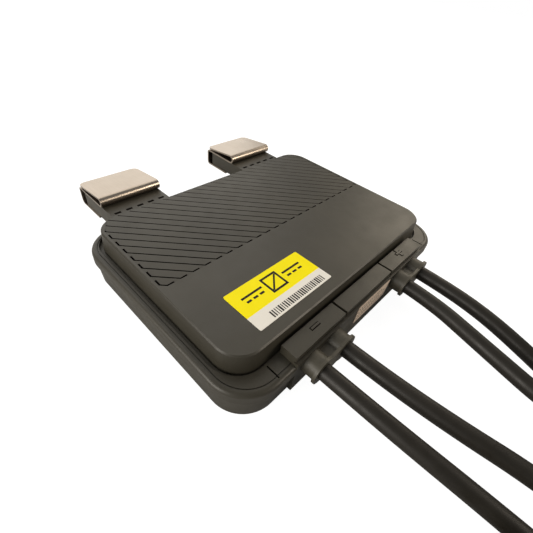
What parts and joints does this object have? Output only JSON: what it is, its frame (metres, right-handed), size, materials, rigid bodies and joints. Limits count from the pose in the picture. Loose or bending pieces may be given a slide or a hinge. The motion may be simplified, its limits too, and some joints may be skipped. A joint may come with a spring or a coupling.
{
  "type": "solar power optimizer",
  "caption": "Flat rounded power optimizer box with a slant-ribbed lid, spring clips on two arms for a panel frame, and coiled leads with round connectors",
  "frame": {"origin": "on the flat back face, under the middle of the lid", "axes": "+Z out of the back face towards the lid, +Y towards the clips, -Y towards the leads, +X towards the plus leads"},
  "size_m": [0.2034, 0.2896, 0.0388],
  "materials": {
    "housing_plastic": "fine-grained dark brownish grey plastic",
    "black_rubber": "black soft plastic",
    "potting_resin": "smooth black potting resin",
    "board_laminate": "green solder mask",
    "ferrite": "dull dark grey ferrite",
    "copper": "bare copper",
    "capacitor_film": "glossy cast case",
    "bare_aluminium": "drawn can",
    "chip_plastic": "moulded black",
    "tinned_steel": "bright tin plate",
    "spring_steel": "satin stainless strip",
    "yellow_label": "yellow film over an off-white strip",
    "silver_label": "silver film with dark print bars",
    "lead_jacket": "satin black jacket",
    "tie_plastic": "black tie",
    "connector_plastic": "black moulded plastic",
    "tinned_copper": "tin-plated contact"
  },
  "bodies": {
    "root": {"base_housing": "housing_plastic", "top_cover": "housing_plastic", "cover_seal": "black_rubber", "potting_compound": "potting_resin", "circuit_board": "board_laminate", "inductor_core": "ferrite", "inductor_winding": "copper", "input_film_capacitor": "capacitor_film", "output_film_capacitor": "capacitor_film", "left_can_capacitor": "bare_aluminium", "right_can_capacitor": "bare_aluminium", "bypass_diode": "chip_plastic", "control_chip": "chip_plastic", "communication_module": "tinned_steel", "minus_strain_relief": "black_rubber", "plus_strain_relief": "black_rubber", "left_spring_clip": "spring_steel", "right_spring_clip": "spring_steel", "top_label": "yellow_label", "side_label": "silver_label", "power_transistor_1": "chip_plastic", "power_transistor_2": "chip_plastic", "power_transistor_3": "chip_plastic", "power_transistor_4": "chip_plastic", "input_minus_core": "copper", "input_minus_lug": "copper", "input_minus_lead": "lead_jacket", "input_minus_nut": "connector_plastic", "input_minus_socket": "connector_plastic", "input_minus_contact": "tinned_copper", "input_plus_core": "copper", "input_plus_lug": "copper", "input_plus_lead": "lead_jacket", "input_plus_nut": "connector_plastic", "input_plus_plug": "connector_plastic", "input_plus_pin": "tinned_copper", "output_minus_core": "copper", "output_minus_lug": "copper", "output_minus_lead": "lead_jacket", "output_minus_nut": "connector_plastic", "output_minus_plug": "connector_plastic", "output_minus_pin": "tinned_copper", "output_plus_core": "copper", "output_plus_lug": "copper", "output_plus_lead": "lead_jacket", "output_plus_nut": "connector_plastic", "output_plus_socket": "connector_plastic", "output_plus_contact": "tinned_copper", "output_minus_coil": "lead_jacket", "output_minus_tail": "lead_jacket", "output_minus_tie_1": "tie_plastic", "output_minus_tie_2": "tie_plastic", "output_plus_coil": "lead_jacket", "output_plus_tail": "lead_jacket", "output_plus_tie_1": "tie_plastic", "output_plus_tie_2": "tie_plastic"}
  },
  "joints": []
}
